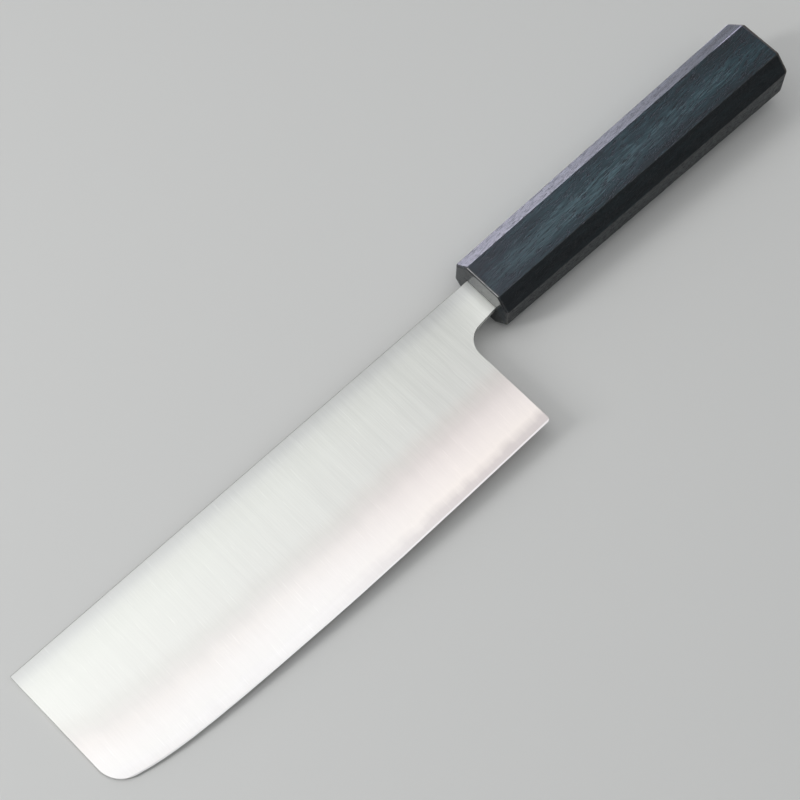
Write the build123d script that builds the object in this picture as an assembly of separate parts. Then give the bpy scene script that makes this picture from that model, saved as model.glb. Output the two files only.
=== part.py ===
from build123d import *
import math
import os

# Nakiri: a Japanese vegetable knife. Its three-layer blade has a hidden tang that is bedded
# in a one-piece octagonal oak handle. The knife lies on its side. +X runs from the blade to
# the handle's butt, +Y from the edge to the spine, and +Z is the way the left face looks.
# Until the last step x is counted from the heel, y from the spine and z from the core's middle.

# Blade outline
blade_length = 165.3  # heel to the spine's front corner
blade_depth = 50.2  # spine to the lowest point of the edge
edge_lift = 7.2  # climb of the edge from its lowest point to the nose
front_lean = 1.4  # degrees that the front leans back from square
back_lean = 0.9  # degrees that the heel's back leans forward, going up
back_zero_depth = 37.5  # depth below the spine at which that back crosses x = 0
nose_radius = 9.0  # rounding between the front and the edge
heel_radius = 1.2  # rounding of the heel's corner
choil_radius = 7.1  # inner curve from the heel's back up to the neck

# The edge's curve: how far along the blade from the heel, and how much of the lift is reached
edge_curve_shares = (
    (0.0, 0.104),
    (0.20, 0.036),
    (0.45, 0.0),
    (0.70, 0.111),
    (0.87, 0.339),
    (0.955, 0.671),
    (1.0, 1.0),
)
behind_heel_share = 0.15  # lift where the curve runs out behind the neck
past_nose_share = 1.5  # lift where it runs out in front of the nose

# Blade section
heel_thickness = 2.2  # at the spine, over the heel
tip_thickness = 1.6  # at the spine, at the front
flat_angle = 0.25  # degrees that each flat leans inwards on its way to the edge
bevel_width = 20.0  # edge to the middle of the soft line where the grinding starts
blend_width = 8.0  # width of that soft line
blend_angle = 0.7  # degrees by which the soft line's upper side leaves the flat
blend_share = 0.747  # of the bevel's fall in thickness, what is left below the soft line
honing_height = 0.45  # width of the honed facet along the edge
honing_angle = 15.0  # degrees between the honed facet and the core's middle
edge_land = 0.03  # blunt strip that a honed edge keeps
spine_easing = 0.15  # rounding of the spine's two arrises
core_thickness = 0.5  # hard steel between the two soft layers
section_steps = 14  # even steps between the sections that shape the ground surfaces

# Neck and tang
neck_length = 13.9  # heel to the handle's face
neck_height = 12.45  # at the handle's face
neck_lean = 5.5  # degrees that the neck's lower side falls on its way to the heel
neck_seat = 2.0  # how far the neck's full height runs on into the handle
tang_length = 90.0  # behind the neck
tang_shoulder = 0.6  # step down from the neck, above and below
tang_thickness = 2.0  # from the handle's mouth, where the flats stop, to the end of the seat
tang_end_height = 5.6
tang_end_thickness = 1.6

# Octagonal handle
handle_length = 124.8
handle_offset = 0.125  # its middle lies this far above the neck's
front_height = 22.6
front_width = 17.2
front_corner = 4.4  # cut off each corner of the front, on both sides
butt_height = 25.2
butt_width = 20.8
butt_corner = 5.1
front_easing = 0.9  # rounding round the handle's front
butt_easing = 2.0  # rounding round its butt
bed_gap = 0.3  # adhesive round the neck and the tang
bed_end = 4.0  # pocket of adhesive past the tang's end
bed_setback = 0.3  # the adhesive stops this far inside the handle's mouth
arris_easing = 0.35  # rounding of the eight long arrises

overrun = 5.0  # how far cutting shapes pass what they cut

handle_middle = handle_offset - neck_height / 2
neck_end = neck_length + neck_seat
tang_end = neck_end + tang_length
butt_end = neck_length + handle_length


def side_plane(x):
    """Plane across the knife at x: its own x is the knife's y, its own y is the knife's z."""
    return Plane(origin=(x, 0, 0), x_dir=(0, 1, 0), z_dir=(1, 0, 0))


def flat_slopes():
    """How fast half of the thickness on the flats grows along the knife and up to the spine."""
    along = (heel_thickness - tip_thickness) / 2 / blade_length
    return along, math.tan(math.radians(flat_angle))


def flat_half(x, y):
    """Half of the blade's thickness on the flats, which are plane and thin towards tip and edge."""
    along, up = flat_slopes()
    return heel_thickness / 2 + x * along + y * up


def flat_plane(side):
    """Plane of the left flat (side 1) or the right one (side -1), facing out of the blade."""
    along, up = flat_slopes()
    return Plane(origin=(0, 0, side * flat_half(0, 0)), z_dir=(-along, -up, side))


def edge_y(lift_share):
    """Height of the edge where it has reached this much of its lift."""
    return -blade_depth + edge_lift * lift_share


def edge_curve():
    """The edge in side view. It runs on past both ends of the blade, to be cut off there."""
    places = [(-blade_length * along, edge_y(lift)) for along, lift in edge_curve_shares]
    behind = (neck_end + overrun, edge_y(behind_heel_share))
    ahead = (-blade_length - overrun * 2, edge_y(past_nose_share))
    return Spline(behind, *places, ahead)


def keen_depth():
    """How far below the real edge the two honed facets would meet."""
    return edge_land / 2 / math.tan(math.radians(honing_angle))


def ground_section(x, low_y):
    """The bar cut across as it leaves the wheel: stock above, soft line, convex bevels, honed facets."""
    slope = math.tan(math.radians(honing_angle))
    honed_y = low_y + honing_height
    honed_half = edge_land / 2 + honing_height * slope
    blend_top = low_y + bevel_width + blend_width / 2
    blend_bottom = low_y + bevel_width - blend_width / 2
    top_half = flat_half(x, blend_top)
    bottom_half = honed_half + (top_half - honed_half) * blend_share

    lean = math.tan(math.radians(flat_angle + blend_angle))
    stock_half = top_half + (overrun - blend_top) * lean
    stock = Line((overrun, stock_half), (blend_top, top_half))
    blend = TangentArc((blend_top, top_half), (blend_bottom, bottom_half), tangent=stock % 1)
    bevel = TangentArc((blend_bottom, bottom_half), (honed_y, honed_half), tangent=blend % 1)
    honed = Line((honed_y, honed_half), (low_y - keen_depth(), 0))
    left = stock + blend + bevel + honed
    right = mirror(left, about=Plane.XZ)
    top = Line((overrun, -stock_half), (overrun, stock_half))
    return side_plane(x) * make_face(left + right + top)


def blade_outline(ground):
    """Side view of blade and neck, as a block of the full width, with the ground bar's own edge."""
    depth = blade_depth + overrun
    front_low_x = -blade_length + depth * math.tan(math.radians(front_lean))
    back_rise = math.tan(math.radians(back_lean))
    choil_depth = neck_height + neck_length * math.tan(math.radians(neck_lean))
    choil_x = (choil_depth - back_zero_depth) * back_rise
    heel_x = (blade_depth - back_zero_depth) * back_rise
    body = make_face(
        Polyline(
            (-blade_length, 0),
            (front_low_x, -depth),
            ((depth - back_zero_depth) * back_rise, -depth),
            (choil_x, -choil_depth),
            (neck_length, -neck_height),
            (neck_length, 0),
            close=True,
        )
    )
    long_edges = ground.edges().filter_by(lambda edge: edge.length > blade_length)
    keen_edge = min(long_edges, key=lambda edge: abs(edge.center().Z))
    curve = Pos(0, keen_depth()) * keen_edge
    above = Polyline(curve @ 1, ((curve @ 1).X, overrun), ((curve @ 0).X, overrun), curve @ 0)
    block = extrude(body & make_face(curve + above), amount=heel_thickness, both=True)

    corners = (
        ((choil_x, -choil_depth), choil_radius),
        ((heel_x, edge_y(edge_curve_shares[0][1])), heel_radius),
        ((-blade_length, edge_y(edge_curve_shares[-1][1])), nose_radius),
    )
    for place, radius in corners:
        upright = block.edges().filter_by(Axis.Z)
        block = fillet(upright.sort_by_distance((*place, 0))[0], radius)
    return block


def tang():
    """Hidden tang: a seat as high as the neck, then a part that narrows and thins to a square end."""
    beside = (Align.MIN, Align.CENTER, Align.CENTER)
    seat = Box(neck_seat, neck_height, tang_thickness, align=beside)
    start_height = neck_height - tang_shoulder * 2
    start = side_plane(neck_end) * Pos(-neck_height / 2, 0) * Rectangle(start_height, tang_thickness)
    end = side_plane(tang_end) * Pos(handle_middle, 0) * Rectangle(tang_end_height, tang_end_thickness)
    return Pos(neck_length, -neck_height / 2) * seat + loft([start, end], ruled=True)


def forging():
    """Blade, neck and tang as one bar, before it is told apart into its layers."""
    places = [edge_curve() @ (step / section_steps) for step in range(section_steps + 1)]
    ground = loft([ground_section(place.X, place.Y) for place in places])
    blade = ground & blade_outline(ground)
    for side in (1, -1):
        blade = split(blade, bisect_by=flat_plane(side), keep=Keep.BOTTOM)
    top_edges = blade.edges().group_by(Axis.Y)[-1]
    spine_arrises = top_edges.filter_by(lambda edge: edge.length > blade_length)
    blade = fillet(spine_arrises, spine_easing)
    return blade + tang()


def layer(bar, low, high):
    """The part of the bar between two heights across its thickness."""
    length = tang_end + blade_length + overrun * 2
    width = blade_depth + overrun * 2
    slab = Box(length, width, high - low, align=(Align.MIN, Align.MAX, Align.MIN))
    return bar & Pos(-blade_length - overrun, overrun, low) * slab


def octagon(x, height, width, corner):
    """Corners of the handle's cross-section at x: a rectangle with its own corners cut off."""
    tall = height / 2
    wide = width / 2
    upper = ((tall - corner, wide), (tall, wide - corner), (tall, corner - wide), (tall - corner, -wide))
    lower = tuple((-y, -z) for y, z in upper)
    return [(x, handle_middle + y, z) for y, z in upper + lower]


def polygon(corners):
    """Plane face through these corners."""
    return Face(Wire.make_polygon(corners))


def bed(gap):
    """Room for the neck and the tang with a gap all round, and a pocket past the tang's end."""
    mouth = Box(
        neck_end - neck_length + gap,
        neck_height + gap * 2,
        heel_thickness + gap * 2,
        align=(Align.MIN, Align.CENTER, Align.CENTER),
    )
    start_height = neck_height - tang_shoulder * 2 + gap * 2
    start = side_plane(neck_end) * Pos(-neck_height / 2, 0)
    end = side_plane(tang_end + bed_end) * Pos(handle_middle, 0)
    slot = loft(
        [
            start * Rectangle(start_height, tang_thickness + gap * 2),
            end * Rectangle(tang_end_height + gap * 2, tang_end_thickness + gap * 2),
        ],
        ruled=True,
    )
    return Pos(neck_length, -neck_height / 2) * mouth + slot


def handle_body():
    """Octagonal body, thicker at the butt, with rounded ends and eased arrises."""
    front = octagon(neck_length, front_height, front_width, front_corner)
    butt = octagon(butt_end, butt_height, butt_width, butt_corner)
    facets = [polygon((front[i - 1], front[i], butt[i], butt[i - 1])) for i in range(len(front))]
    body = Solid(Shell([polygon(front), polygon(butt), *facets]))
    body = fillet(body.edges().sort_by(SortBy.LENGTH)[-len(front):], arris_easing)
    body = fillet(body.faces().sort_by(Axis.X)[0].edges(), front_easing)
    body = fillet(body.faces().sort_by(Axis.X)[-1].edges(), butt_easing)
    return body - bed(bed_gap)


def adhesive(bar):
    """Cured adhesive that fills the bed round the neck and the tang, just short of the mouth."""
    filled = bed(bed_gap)
    length = neck_length + bed_setback + overrun
    outside = Box(length, butt_height * 2, butt_width * 2, align=(Align.MAX, Align.CENTER, Align.CENTER))
    return filled - bar - Pos(neck_length + bed_setback) * outside


bar = forging()
core_half = core_thickness / 2
pieces = {
    "core_steel": layer(bar, -core_half, core_half),
    "left_cladding": layer(bar, core_half, heel_thickness),
    "right_cladding": layer(bar, -heel_thickness, -core_half),
    "octagonal_handle": handle_body(),
    "tang_adhesive": adhesive(bar),
}

# The origin is the middle of the whole knife's box in x and y, and the box's underside in z
middle_x = (butt_end - blade_length) / 2
middle_y = (handle_middle + butt_height / 2 - blade_depth) / 2
to_frame = Pos(-middle_x, -middle_y, butt_width / 2)

os.makedirs("parts", exist_ok=True)
for name, piece in pieces.items():
    export_step(to_frame * piece, f"parts/{name}.step")
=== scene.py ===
import math

import bpy
from mathutils import Matrix, Vector

# Nakiri knife. It lies on its side: +X runs to the butt, +Y to the spine, +Z out of the blade's left face.
# The five CAD solids keep their shapes and get their finishes here.

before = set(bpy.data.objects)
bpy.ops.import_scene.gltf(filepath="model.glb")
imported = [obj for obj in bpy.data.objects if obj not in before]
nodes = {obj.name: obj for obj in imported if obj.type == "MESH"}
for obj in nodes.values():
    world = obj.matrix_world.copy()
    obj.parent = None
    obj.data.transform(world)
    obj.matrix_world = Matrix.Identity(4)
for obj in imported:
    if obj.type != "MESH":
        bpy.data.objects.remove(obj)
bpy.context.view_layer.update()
bpy.ops.object.select_all(action="DESELECT")
mm = 0.001
drawingZero = Vector((13.3, 21.85, 10.4)) * mm  # heel, spine and middle of the core: blade sizes count from here
print("solids loaded:", ", ".join(sorted(nodes)))


def linearColour(hexCode):
    shares = [int(hexCode[i : i + 2], 16) / 255 for i in (1, 3, 5)]
    return (*[s / 12.92 if s <= 0.04045 else ((s + 0.055) / 1.055) ** 2.4 for s in shares], 1.0)


def addNode(owner, kind, links, stops=None, curve=None, **settings):
    node = owner.node_tree.nodes.new("ShaderNode" + kind)
    for name, value in settings.items():
        setattr(node, name, value)
    for socket, source in links.items():
        if isinstance(source, bpy.types.NodeSocket):
            owner.node_tree.links.new(source, node.inputs[socket])
        else:
            node.inputs[socket].default_value = source
    if stops:  # colour ramp: (place, hex colour)
        elements = node.color_ramp.elements
        while len(elements) < len(stops):
            elements.new(0.5)
        for element, (place, hexCode) in zip(elements, stops):
            element.position = place
            element.color = linearColour(hexCode)
    if curve:  # float curve: (x, y)
        points = node.mapping.curves[0].points
        while len(points) < len(curve):
            points.new(0.5, 0.5)
        for point, place in zip(points, curve):
            point.location = place
        node.mapping.update()
    return node


def carryOver(owner, value, source, target=(0.0, 1.0), unit=1.0, smooth=False):
    # a value that runs through the source range, carried into the target range and held inside it
    return addNode(
        owner, "MapRange",
        {
            "Value": value, "From Min": source[0] * unit, "From Max": source[1] * unit,
            "To Min": target[0], "To Max": target[1],
        },
        interpolation_type="SMOOTHSTEP" if smooth else "LINEAR",
    ).outputs[0]


def calculate(owner, operation, *values):
    return addNode(owner, "Math", dict(enumerate(values)), operation=operation).outputs[0]


def mixValues(owner, share, first, second):
    return addNode(owner, "Mix", {0: share, 2: first, 3: second}, data_type="FLOAT").outputs[0]


def mixColours(owner, share, first, second, blend="MIX"):
    return addNode(owner, "Mix", {0: share, 6: first, 7: second}, data_type="RGBA", blend_type=blend).outputs[2]


def tint(owner, share, under, hexCode):
    return mixColours(owner, share, under, linearColour(hexCode))


def colourRamp(owner, share, stops, span=1.0):
    placed = [(place / span, hexCode) for place, hexCode in stops]
    return addNode(owner, "ValToRGB", {0: share}, stops=placed).outputs[0]


def stretchedNoise(owner, place, size, detail=2.0, turn=0.0, shift=0.0, output="Fac"):
    # noise in marks as long and as wide as size says, in millimetres; they lie along X, turned about Z by the
    # degrees given, and the shift in millimetres sets two noises of one kind apart
    length, width = size
    mapped = addNode(
        owner, "Mapping",
        {
            "Vector": place, "Location": (shift * mm, shift * mm, shift * mm),
            "Rotation": (0, 0, math.radians(turn)), "Scale": (length * mm, width * mm, width * mm),
        },
        vector_type="TEXTURE",
    )
    noise = addNode(
        owner, "TexNoise", {"Vector": mapped.outputs[0], "Scale": 1.0, "Detail": detail, "Roughness": 0.55}
    )
    return noise.outputs[output]


def newMaterial(name, sockets):
    material = bpy.data.materials.new(name)
    material.use_nodes = True
    material.node_tree.nodes.clear()
    shader = addNode(material, "BsdfPrincipled", sockets)
    addNode(material, "OutputMaterial", {"Surface": shader.outputs[0]})
    place = addNode(material, "TexCoord", {}).outputs["Object"]
    return material, shader, place


def connect(material, shader, sources):
    for socket, source in sources.items():
        material.node_tree.links.new(source, shader.inputs[socket])


def giveFinish(material, *names):
    for name in names:
        nodes[name].data.materials.clear()
        nodes[name].data.materials.append(material)


blade = {
    # all in millimetres: places along the blade count from the heel, heights from the edge
    # the cutting edge in side view, from heel and spine; the finish follows it
    "edge": (
        (-165.3, -43.0), (-157.9, -45.35), (-143.8, -47.8), (-115.7, -49.4),
        (-74.4, -50.2), (-33.1, -49.94), (0.0, -49.45), (20.0, -49.1),
    ),
    "edgeX": (-166.0, 21.0),
    "edgeY": (-51.0, -42.0),
    # colour by the height above the edge: honed line, core, its soft border, bevel, soft line and flat; the grey
    # core is the steel's own, while the bevel painted brighter than the flat is painted light, the lamps'
    # reflection on the curved grind
    "bandsAndPaintedLight": (
        (0.0, "#f0ebeb"), (0.4, "#f0ebeb"), (0.62, "#d1c9c8"), (2.2, "#d5cdcb"), (3.4, "#e7dfdb"),
        (5.2, "#f5ede8"), (9.0, "#f1e9e5"), (14.0, "#e7dfdc"), (17.5, "#dbd4d1"), (21.0, "#d5d1cd"),
        (25.0, "#d7d7d3"), (40.0, "#d7d8d3"),
    ),
    # the same towards the tip, whiter all over with the core hardly showing: painted light, the brightness that
    # the lamps' reflection gives the tip
    "tipLitBands": (
        (0.0, "#eeedec"), (0.4, "#eeedec"), (0.62, "#e6e4e3"), (2.2, "#e9e7e6"), (3.4, "#eceae9"),
        (5.2, "#eeecea"), (9.0, "#eeebe9"), (14.0, "#e9e5e2"), (17.5, "#dedbd8"), (21.0, "#d9d8d4"),
        (25.0, "#dcdcd8"), (40.0, "#dcddd8"),
    ),
    "bandSpan": 40.0,
    "tipBandsFrom": (-20.0, -100.0),  # these colours come in here and are full there
    "borderWave": 1.4,  # how far the border of the core wanders
    "borderMarks": (6.0, 40.0),
    "borderNoise": (0.3, 0.7),
    "borderFrom": (0.6, 2.2),  # the wandering starts at this height and is full at that one
    # painted shade: the bevel gets a little darker again on the last stretch to the tip, where the lamps'
    # reflection burns it out
    "dimmedFrom": (-90.0, -150.0),
    "dimmedBelow": (21.0, 14.0),
    "dimmedBy": 0.06,
    # painted shade: the flat darkens under the spine, by the depth, and the spine's corner is darkest so that the
    # lamps' glint there stays dim
    "spine": (
        (0.0, "#c4c4c8"), (0.15, "#dededf"), (0.4, "#e2e2e5"), (2.0, "#e8e8eb"), (3.5, "#f0f0f2"),
        (5.0, "#f7f7f8"), (7.0, "#fbfbfb"), (12.0, "#ffffff"),
    ),
    "spineSpan": 12.0,
    "stonedDepth": 0.3,  # the stone that broke the spine's corners left them matt down to here
    "stonedRoughness": 0.35,
    "neckEnd": 13.5,  # painted light: the neck is brightened on the way to the handle, against the shade the handle casts on it
    "neckGain": 1.3,
    "softRoughness": (0.36, 0.44),
    "hardRoughness": (0.3, 0.38),
    "anisotropy": 0.6,
    "brushed": 90.8,  # degrees from X that the lines run
    "scratched": 88.0,
    # grit lines are about 0.05 mm wide, drawn six times as wide so that they show
    "lines": (13.0, 0.3),
    "streaks": (55.0, 1.7),
    "patches": (40.0, 15.0),
    "streakShare": 0.45,
    "patchShare": 0.3,
    "brushingSpan": (0.35, 0.65),  # the noise that counts as deepest and highest
    "relief": (0.3, 0.01),  # strength, and height in millimetres
    "contrast": (0.22, 0.56),  # of the lines, on the bevels and at the tip, and on the flats at the heel
    "flatFrom": (17.0, 22.0),  # height at which the bevel has turned into the flat
    "coarserFrom": (-140.0, 0.0),
    "scratches": (6.0, 0.4),
    "scratchNoise": (0.72, 0.84),
    "scratchGain": 0.06,
}


def heightOverEdge(material, along, depth):
    left, right = blade["edgeX"]
    low, high = blade["edgeY"]
    edge = addNode(
        material, "FloatCurve", {"Value": carryOver(material, along, blade["edgeX"], unit=mm)},
        curve=[((x - left) / (right - left), (y - low) / (high - low)) for x, y in blade["edge"]],
    ).outputs[0]
    return calculate(material, "SUBTRACT", depth, carryOver(material, edge, (0.0, 1.0), (low * mm, high * mm)))


def groundBandsAndPaintedLight(material, fromHeel, along, height):
    # forging left the border of the core wavy
    wander = blade["borderWave"] / 2 * mm
    border = stretchedNoise(material, fromHeel, blade["borderMarks"], detail=3.0)
    wave = carryOver(material, border, blade["borderNoise"], (-wander, wander))
    nearBorder = carryOver(material, height, blade["borderFrom"], unit=mm, smooth=True)
    wavedHeight = calculate(material, "MULTIPLY_ADD", wave, nearBorder, height)
    share = calculate(material, "DIVIDE", wavedHeight, blade["bandSpan"] * mm)
    # painted light: these ramps paint the bevel brighter than the flat and the tip whiter, as the lamps'
    # reflection shows them
    heelBands = colourRamp(material, share, blade["bandsAndPaintedLight"], blade["bandSpan"])
    tipLitBands = colourRamp(material, share, blade["tipLitBands"], blade["bandSpan"])
    toTip = carryOver(material, along, blade["tipBandsFrom"], unit=mm, smooth=True)
    return mixColours(material, toTip, heelBands, tipLitBands)


def brushedSteel(name, roughness):
    # San-mai blade steel, ground and then brushed from spine to edge: the lines lie along Y, so light
    # smears across them, along X. A few stray scratches and paler streaks keep the wide flats alive.
    # The colours also carry painted light and shade: a brighter bevel and tip, a brightened neck, shade under the
    # spine and on the bevel near the tip.
    material, shader, place = newMaterial(name, {"Metallic": 1.0, "Anisotropic": blade["anisotropy"]})
    fromHeel = addNode(material, "Mapping", {"Vector": place, "Location": -drawingZero}).outputs[0]
    position = addNode(material, "SeparateXYZ", {0: fromHeel})
    along, depth = position.outputs["X"], position.outputs["Y"]
    height = heightOverEdge(material, along, depth)
    bandsAndPaintedLight = groundBandsAndPaintedLight(material, fromHeel, along, height)

    lines, streaks, patches = [
        stretchedNoise(material, fromHeel, blade[marks], turn=blade["brushed"], shift=shift)
        for marks, shift in (("lines", 0), ("streaks", 430), ("patches", 910))
    ]
    fine = mixValues(material, blade["streakShare"], lines, streaks)
    brushing = mixValues(material, blade["patchShare"], fine, patches)

    # the lines are coarser on the flats near the heel
    onFlat = carryOver(material, height, blade["flatFrom"], unit=mm)
    toHeel = carryOver(material, along, blade["coarserFrom"], unit=mm)
    coarse = calculate(material, "MULTIPLY", onFlat, toHeel)
    contrast = carryOver(material, coarse, (0.0, 1.0), blade["contrast"])
    centred = calculate(material, "SUBTRACT", brushing, 0.5)
    shade = calculate(material, "MULTIPLY_ADD", centred, contrast, 1.0)
    strayNoise = stretchedNoise(
        material, fromHeel, blade["scratches"], detail=0.0, turn=blade["scratched"], shift=270
    )
    scratches = carryOver(material, strayNoise, blade["scratchNoise"], (0.0, blade["scratchGain"]))
    marks = calculate(material, "ADD", shade, scratches)

    # painted shade under the spine and on its corner
    underSpine = calculate(material, "DIVIDE", depth, -blade["spineSpan"] * mm)
    paintedSpineShade = colourRamp(material, underSpine, blade["spine"], blade["spineSpan"])
    # painted light: the neck is brightened towards the handle
    paintedNeckLight = carryOver(
        material, along, (0.0, blade["neckEnd"]), (1.0, blade["neckGain"]), unit=mm, smooth=True
    )
    # painted shade: the bevel is darkened on the last stretch to the tip
    farTip = carryOver(material, along, blade["dimmedFrom"], unit=mm)
    onBevel = carryOver(material, height, blade["dimmedBelow"], (0.0, blade["dimmedBy"]), unit=mm)
    paintedTipShade = calculate(material, "MULTIPLY", farTip, onBevel)
    paintedNeckLightTipShade = calculate(material, "SUBTRACT", paintedNeckLight, paintedTipShade)
    light = calculate(material, "MULTIPLY", marks, paintedNeckLightTipShade)
    colour = bandsAndPaintedLight
    for share in (paintedSpineShade, light):
        colour = mixColours(material, 1.0, colour, share, "MULTIPLY")

    grit = carryOver(material, brushing, blade["brushingSpan"], roughness)
    stoned = carryOver(
        material, depth, (-blade["stonedDepth"], 0.0), (0.0, blade["stonedRoughness"]), unit=mm
    )
    strength, rise = blade["relief"]
    bump = addNode(material, "Bump", {"Height": brushing, "Strength": strength, "Distance": rise * mm})
    connect(
        material, shader,
        {
            "Base Color": colour,
            "Roughness": calculate(material, "ADD", grit, stoned),
            "Normal": bump.outputs[0],
            "Tangent": addNode(material, "CombineXYZ", {"X": 1.0}).outputs[0],
        },
    )
    return material


giveFinish(brushedSteel("brushedSoftStainless", blade["softRoughness"]), "left_cladding", "right_cladding")
giveFinish(brushedSteel("honedHardSteel", blade["hardRoughness"]), "core_steel")
print("steel brushed")

handle = {
    # places are in millimetres of the frame
    "axis": (0.0, 15.75, 10.4),  # middle of the handle
    "pith": (0.0, 4.0, -46.0),  # middle of the tree, seen from there
    "ringSpacing": 2.6,
    "sway": (17.0, 6.0),  # length and width of the bends in the grain
    "warp": 1.3,  # and how far they go
    # pores and fibres of oak are about 0.1 mm wide, drawn three times as wide so that they show
    "pores": (3.4, 0.28),
    "fibres": (6.0, 0.3),
    "streaks": (13.0, 0.6),
    "clouds": (45.0, 6.0),
    "streakShare": 0.5,
    "ringShare": 0.1,
    "poreLimit": (0.53, 0.57),  # noise above which there is a pore, where a ring starts and where it ends
    "poreRise": 0.07,
    "poreCover": 0.9,
    "middle": (5.0, 0.5),  # the dye pales from this far to this near the middle of a broad side
    "middleShift": -1.3,  # that middle lies a little towards the cutting edge
    "middleGain": 0.12,
    "dye": ((0.0, "#041219"), (0.3, "#061c22"), (0.55, "#0c2931"), (0.8, "#253d43"), (1.0, "#3f575c")),
    "dyeSpan": (0.36, 0.7),
    "violet": "#1b222b",
    "violetSpan": (0.46, 0.7),
    "violetShare": 0.45,
    "front": (28.0, 70.0),  # over this length the colour comes up from the darker front
    "frontShare": 0.6,
    # painted shade: the narrow slanting facets and the side under the edge are darkened nearly to black
    "corner": "#111315",
    "cornerFacing": (0.94, 0.98),  # cosines between which a slanting facet starts and is full
    "cornerShare": 0.75,
    "undersideFacing": (-0.75, -0.95),
    "undersideShare": 0.7,
    "pore": "#0b1116",
    "arris": 0.7,  # radius of the worn arrises, in looks only
    "arrisFacing": (0.985, 0.93),  # how squarely a spot on an arris faces the nearest flat side, as a cosine
    "bareOak": "#57504a",
    "rubbed": (0.5, 1.5),  # how much of the dye the arrises lost along the handle, and round the butt
    "buttWear": (140.0, 150.0),  # where that changes
    "arrisGlint": "#a09eac",
    "paleFrom": (136.0, 143.0),  # painted highlight: here the arrises at the spine turn pale, the glint of their worn rounding
    "paleSide": 3.0,  # height over the handle's axis at which they are fully pale
    "paleFacing": (0.997, 0.96),
    "rimFacing": (0.25, 0.1),
    "endGrain": "#10161b",
    "endFacing": (0.6, 0.95),
    "endShare": 0.55,
    "roughness": (0.33, 0.55),
    "roughnessSpan": (0.35, 0.65),
    "poreRoughness": 0.8,
    "frontFacing": (-0.12, -0.4),
    "polished": (0.06, 0.3),
    "polishClouds": (2.6, 1.5),  # the polish on the front is uneven
    "polishSpan": (0.4, 0.68),
    "relief": (0.5, 0.04),  # strength on the wood and on the polished front
    "reliefHeight": 0.08,
}


def oakGrain(material, place):
    # rings about the pith, and the fibres, streaks and open pores that bend with them
    tree = [-(a + p) * mm for a, p in zip(handle["axis"], handle["pith"])]
    centred = addNode(material, "Mapping", {"Vector": place, "Location": tree}).outputs[0]
    sway = stretchedNoise(material, place, handle["sway"], detail=3.0, output="Color")
    warp = handle["warp"] * mm
    bend = addNode(material, "VectorMath", {0: sway, 1: (0, warp, warp)}, operation="MULTIPLY").outputs[0]
    warped = addNode(material, "VectorMath", {0: centred, 1: bend}, operation="ADD").outputs[0]
    rings = addNode(
        material, "TexWave",
        {"Vector": warped, "Scale": 2 * math.pi / (20 * handle["ringSpacing"] * mm), "Distortion": 0.0},
        wave_type="RINGS", rings_direction="X", wave_profile="SIN",
    ).outputs["Fac"]
    fibres = stretchedNoise(material, warped, handle["fibres"], detail=3.0, turn=-2)
    streaks = stretchedNoise(material, warped, handle["streaks"], detail=4.0, turn=4)
    # most pores stand in the early wood, where the ring starts
    poreNoise = stretchedNoise(material, warped, handle["pores"], detail=1.0, turn=8)
    poreLimit = carryOver(material, rings, (0.0, 1.0), handle["poreLimit"])
    above = calculate(material, "SUBTRACT", poreNoise, poreLimit)
    pores = carryOver(material, above, (0.0, handle["poreRise"]), (0.0, handle["poreCover"]))
    grain = mixValues(material, handle["streakShare"], fibres, streaks)
    grainAndRings = mixValues(material, handle["ringShare"], grain, rings)
    return streaks, pores, grain, grainAndRings


def palerMiddle(material, place):
    # hands pale the dye along the middle of the broad sides
    x, y, z = handle["axis"]
    middle = Vector((x, y + handle["middleShift"], z)) * mm
    offAxis = addNode(material, "VectorMath", {0: place, 1: middle}, operation="SUBTRACT").outputs[0]
    away = addNode(material, "VectorMath", {0: offAxis}, operation="ABSOLUTE").outputs[0]
    reach = addNode(material, "SeparateXYZ", {0: away})
    fromMiddle = calculate(material, "MINIMUM", reach.outputs["Y"], reach.outputs["Z"])
    return carryOver(material, fromMiddle, handle["middle"], unit=mm, smooth=True)


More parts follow.
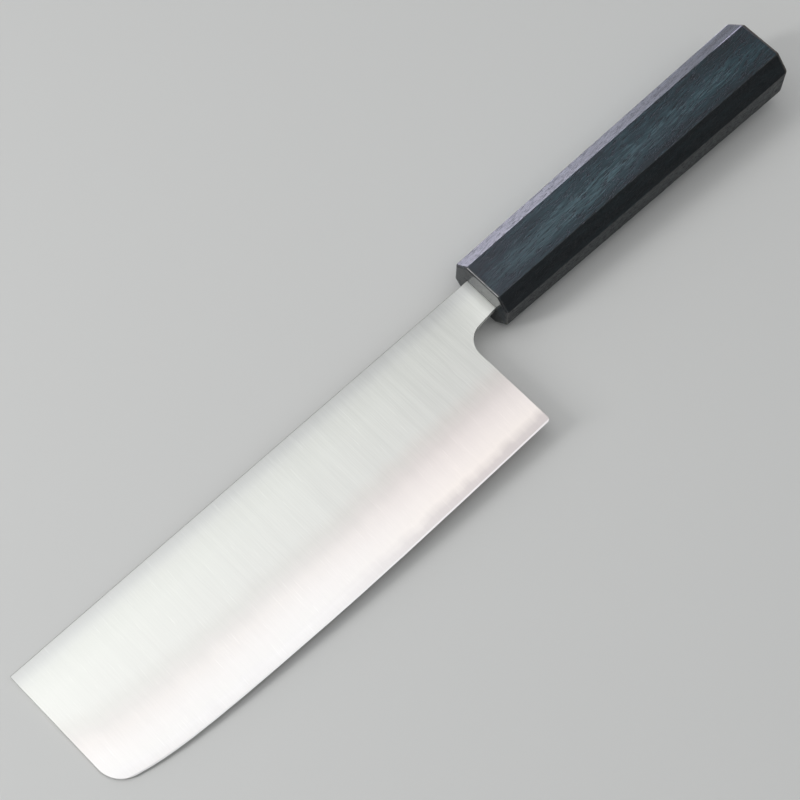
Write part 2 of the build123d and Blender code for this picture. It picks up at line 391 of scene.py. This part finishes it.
def dyedOak(name):
    # Oak, dyed indigo and rubbed with oil: the tree's rings meet the broad sides flat, so the late wood shows
    # there as pale wavy islands, open pores stay dark, hands have rubbed the arrises down to brown oak and
    # the front is polished until it mirrors the neck.
    # Also painted light: shade on the slanting facets and the side under the edge, and a pale glint on the
    # spine-side arrises near the butt.
    material, shader, place = newMaterial(name, {"IOR": 1.5})
    streaks, pores, grain, grainAndRings = oakGrain(material, place)
    position = addNode(material, "SeparateXYZ", {0: place})
    along, side = position.outputs["X"], position.outputs["Y"]

    middle = palerMiddle(material, place)
    paled = calculate(material, "MULTIPLY_ADD", middle, handle["middleGain"], grainAndRings)
    dye = colourRamp(material, carryOver(material, paled, handle["dyeSpan"]), handle["dye"])
    clouds = stretchedNoise(material, place, handle["clouds"], shift=370)
    violet = carryOver(material, clouds, handle["violetSpan"], (0.0, handle["violetShare"]))
    darkFront = carryOver(material, along, handle["front"], (handle["frontShare"], 0.0), unit=mm)
    dusky = calculate(material, "MAXIMUM", violet, darkFront)
    colour = tint(material, dusky, dye, handle["violet"])

    # normals of the facets, rounded over the arrises
    rounded = addNode(material, "Bevel", {"Radius": handle["arris"] * mm}, samples=6).outputs[0]
    facing = addNode(material, "VectorMath", {0: rounded}, operation="ABSOLUTE").outputs[0]
    parts = addNode(material, "SeparateXYZ", {0: facing})
    slanting = addNode(
        material, "VectorMath", {0: facing, 1: (0, math.sqrt(0.5), math.sqrt(0.5))}, operation="DOT_PRODUCT"
    ).outputs["Value"]
    surface = addNode(material, "NewGeometry", {}).outputs["Normal"]
    normal = addNode(material, "SeparateXYZ", {0: surface})
    # painted shade on the slanting facets and the side under the edge
    corners = carryOver(material, slanting, handle["cornerFacing"], (0.0, handle["cornerShare"]))
    undersideShade = carryOver(
        material, normal.outputs["Y"], handle["undersideFacing"], (0.0, handle["undersideShare"])
    )
    paintedFacetShade = calculate(material, "MAXIMUM", corners, undersideShade)
    colour = tint(material, paintedFacetShade, colour, handle["corner"])
    colour = tint(material, pores, colour, handle["pore"])

    # on an arris the rounded normal lies far from every flat side
    sides = calculate(material, "MAXIMUM", parts.outputs["Y"], parts.outputs["Z"])
    ends = calculate(material, "MAXIMUM", parts.outputs["X"], slanting)
    flattest = calculate(material, "MAXIMUM", sides, ends)
    arris = carryOver(material, flattest, handle["arrisFacing"])
    rubbing = carryOver(material, along, handle["buttWear"], handle["rubbed"], unit=mm)
    patchy = calculate(material, "MULTIPLY", rubbing, streaks)
    rubbed = calculate(material, "MULTIPLY", arris, patchy)
    colour = tint(material, rubbed, colour, handle["bareOak"])

    # painted highlight: a pale glint on the spine-side arrises near the butt
    axisY = handle["axis"][1]
    paintedGlint = carryOver(material, flattest, handle["paleFacing"])
    for share in (
        carryOver(material, along, handle["paleFrom"], unit=mm),
        carryOver(material, side, (axisY, axisY + handle["paleSide"]), unit=mm),
        carryOver(material, parts.outputs["X"], handle["rimFacing"]),
    ):
        paintedGlint = calculate(material, "MULTIPLY", paintedGlint, share)
    colour = tint(material, paintedGlint, colour, handle["arrisGlint"])

    # end grain soaked up more of the dye
    acrossGrain = calculate(material, "ABSOLUTE", normal.outputs["X"])
    soaked = carryOver(material, acrossGrain, handle["endFacing"], (0.0, handle["endShare"]))
    colour = tint(material, soaked, colour, handle["endGrain"])

    wood = carryOver(material, grainAndRings, handle["roughnessSpan"], handle["roughness"])
    porous = mixValues(material, pores, wood, handle["poreRoughness"])
    polishClouds = stretchedNoise(material, place, handle["polishClouds"], shift=150)
    mirror = carryOver(material, polishClouds, handle["polishSpan"], handle["polished"])
    onFront = carryOver(material, normal.outputs["X"], handle["frontFacing"])
    relief = calculate(material, "SUBTRACT", grain, pores)
    strength = carryOver(material, onFront, (0.0, 1.0), handle["relief"])
    bump = addNode(
        material, "Bump", {"Height": relief, "Strength": strength, "Distance": handle["reliefHeight"] * mm}
    )
    connect(
        material, shader,
        {
            "Base Color": colour,
            "Roughness": mixValues(material, onFront, porous, mirror),
            "Normal": bump.outputs[0],
        },
    )
    return material


giveFinish(dyedOak("indigoDyedOak"), "octagonal_handle")
print("handle dyed")

adhesive = {
    "spots": 900.0,  # per metre
    "colours": ((0.35, "#0d0c0d"), (0.65, "#1c1a1a")),
    "roughness": (0.25, 0.5),
    "relief": (0.3, 0.05),  # strength, and height in millimetres
}


def curedResin(name):
    # Epoxy that set round the tang: dark, slightly sunk and uneven, seen only as a thin line at the mouth.
    material, shader, place = newMaterial(name, {"IOR": 1.55})
    spots = addNode(material, "TexNoise", {"Vector": place, "Scale": adhesive["spots"], "Detail": 2.0}).outputs[0]
    strength, rise = adhesive["relief"]
    bump = addNode(material, "Bump", {"Height": spots, "Strength": strength, "Distance": rise * mm})
    connect(
        material, shader,
        {
            "Base Color": colourRamp(material, spots, adhesive["colours"]),
            "Roughness": carryOver(material, spots, (0.0, 1.0), adhesive["roughness"]),
            "Normal": bump.outputs[0],
        },
    )
    return material


giveFinish(curedResin("curedEpoxy"), "tang_adhesive")
print("adhesive cured")

viewpoint = {
    "lens": 90.0,
    "sensor": 36.0,
    "distance": 595.14,
    "tilt": 22.40,  # degrees off straight down
    "turn": 43.70,  # degrees that the knife is turned on the table
    "pitch": -0.41,
    "roll": 0.72,
    "offset": (10.29, 29.22, 0.0),
}
knifeOnTable = (
    Matrix.Translation(Vector(viewpoint["offset"]) * mm)
    @ Matrix.Rotation(math.radians(viewpoint["turn"]), 4, "Z")
    @ Matrix.Rotation(math.radians(viewpoint["pitch"]), 4, "X")
    @ Matrix.Rotation(math.radians(viewpoint["roll"]), 4, "Y")
)
tableToFrame = Matrix.Translation(drawingZero) @ knifeOnTable.inverted()
cameraData = bpy.data.cameras.new("camera")
cameraData.sensor_width = viewpoint["sensor"]
cameraData.lens = viewpoint["lens"]
camera = bpy.data.objects.new("camera", cameraData)
bpy.context.scene.collection.objects.link(camera)
camera.matrix_world = (
    tableToFrame
    @ Matrix.Rotation(math.radians(viewpoint["tilt"]), 4, "X")
    @ Matrix.Translation((0, 0, viewpoint["distance"] * mm))
)
bpy.context.scene.camera = camera
print("camera set")

room = {
    "floorSize": 8.0,
    # the knife really rests on two places, in millimetres from the heel and the core's middle: the tip of the
    # blade, and the handle's lower front edge
    "tipRest": (-165.3, 0.0, -0.8),
    "handleRest": (14.8, 0.0, -8.62),
    "paper": "#dadad8",  # as seen straight and in the steel
    "paperBounce": "#8c8c8a",  # what it throws back, so that the knife's sides stay deep
    "fade": (0.24, 0.8),  # metres from the knife over which the paper turns into the backdrop
    "backdrop": "#cfd0d1",
    "walls": "#3c3e41",
    "ceiling": "#a2a4a6",
    "ceilingFrom": (0.3, 0.65),  # height of a direction at which the pale ceiling starts and is full
    # a dark board on the side of the cutting edge keeps the handle's lower facets deep
    "board": (0.925, -0.337, 0.174),
    "boardFacing": (0.7, 0.25),
}
tipRest, handleRest = [drawingZero + Vector(room[spot]) * mm for spot in ("tipRest", "handleRest")]
slope = math.atan2(tipRest.z - handleRest.z, handleRest.x - tipRest.x)
bpy.ops.mesh.primitive_plane_add(size=room["floorSize"], location=handleRest, rotation=(0, slope, 0))
floor = bpy.context.object
floor.name = "floor"
bpy.ops.object.transform_apply(location=True, rotation=True, scale=True)


def palePaper(name):
    # Matt studio paper. It fades into the backdrop far from the knife, so no horizon shows behind it.
    plain = {"Roughness": 0.9, "Specular IOR Level": 0.0, "Emission Color": linearColour(room["backdrop"])}
    material, shader, place = newMaterial(name, plain)
    rays = addNode(material, "LightPath", {})
    seen = calculate(material, "MAXIMUM", rays.outputs["Is Camera Ray"], rays.outputs["Is Glossy Ray"])
    tones = tint(material, seen, linearColour(room["paperBounce"]), room["paper"])
    away = addNode(material, "VectorMath", {0: place}, operation="LENGTH").outputs["Value"]
    far = carryOver(material, away, room["fade"], smooth=True)
    fade = calculate(material, "MULTIPLY", far, rays.outputs["Is Camera Ray"])
    faded = tint(material, fade, tones, "#000000")
    connect(material, shader, {"Base Color": faded, "Emission Strength": fade})
    return material


floor.data.materials.append(palePaper("palePaper"))
print("floor laid, it leans", round(math.degrees(slope), 2), "degrees")

world = bpy.data.worlds.new("studio")
bpy.context.scene.world = world
world.use_nodes = True
direction = addNode(world, "TexCoord", {}).outputs["Generated"]
upward = addNode(world, "SeparateXYZ", {0: direction}).outputs["Z"]
overhead = carryOver(world, upward, room["ceilingFrom"])
board = (tableToFrame.to_3x3() @ Vector(room["board"])).normalized()
towards = addNode(world, "VectorMath", {0: direction, 1: board}, operation="DOT_PRODUCT").outputs["Value"]
clear = carryOver(world, towards, room["boardFacing"], smooth=True)
paleness = calculate(world, "MAXIMUM", overhead, clear)
surround = tint(world, paleness, linearColour(room["walls"]), room["ceiling"])
cameraRay = addNode(world, "LightPath", {}).outputs["Is Camera Ray"]
connect(world, world.node_tree.nodes["Background"], {"Color": tint(world, cameraRay, surround, room["backdrop"])})
print("room set")

lamps = {
    # name: place and aim in metres on the table, size, watts and colour
    "overheadPanel": ((-0.03, 0.13, 1.0), (-0.03, 0.13, 0.0), (1.5, 0.92), 3.98, "#ffffff"),
    "rearStrip": ((-0.25, 0.465, 0.05), (0.04, 0.07, 0.01), (0.25, 0.06), 6.5, "#ebe9ff"),
    "tipPanel": ((-0.5, 0.1, 1.05), (-0.5, 0.1, 0.0), (0.5, 0.6), 0.2, "#ffffff"),
    "leftStrip": ((-0.75, -0.26, 0.57), (0.02, 0.04, 0.01), (0.16, 0.5), 3.0, "#ffffff"),
}
# the low strip grazes the floor and would burn it out, so it lights the handle alone
handleAlone = bpy.data.collections.new("handleAlone")
handleAlone.objects.link(nodes["octagonal_handle"])
for name, (spot, aim, size, watts, hexCode) in lamps.items():
    data = bpy.data.lights.new(name, "AREA")
    data.shape = "RECTANGLE"
    data.size, data.size_y = size
    data.energy = watts
    data.color = linearColour(hexCode)[:3]
    lamp = bpy.data.objects.new(name, data)
    bpy.context.scene.collection.objects.link(lamp)
    lamp.location = tableToFrame @ Vector(spot)
    lamp.rotation_mode = "QUATERNION"
    lamp.rotation_quaternion = (tableToFrame @ Vector(aim) - lamp.location).to_track_quat("-Z", "Y")
    lamp.visible_camera = False
    if name == "rearStrip":
        lamp.light_linking.receiver_collection = handleAlone
print("lamps set")

bpy.context.scene.view_settings.view_transform = "Standard"
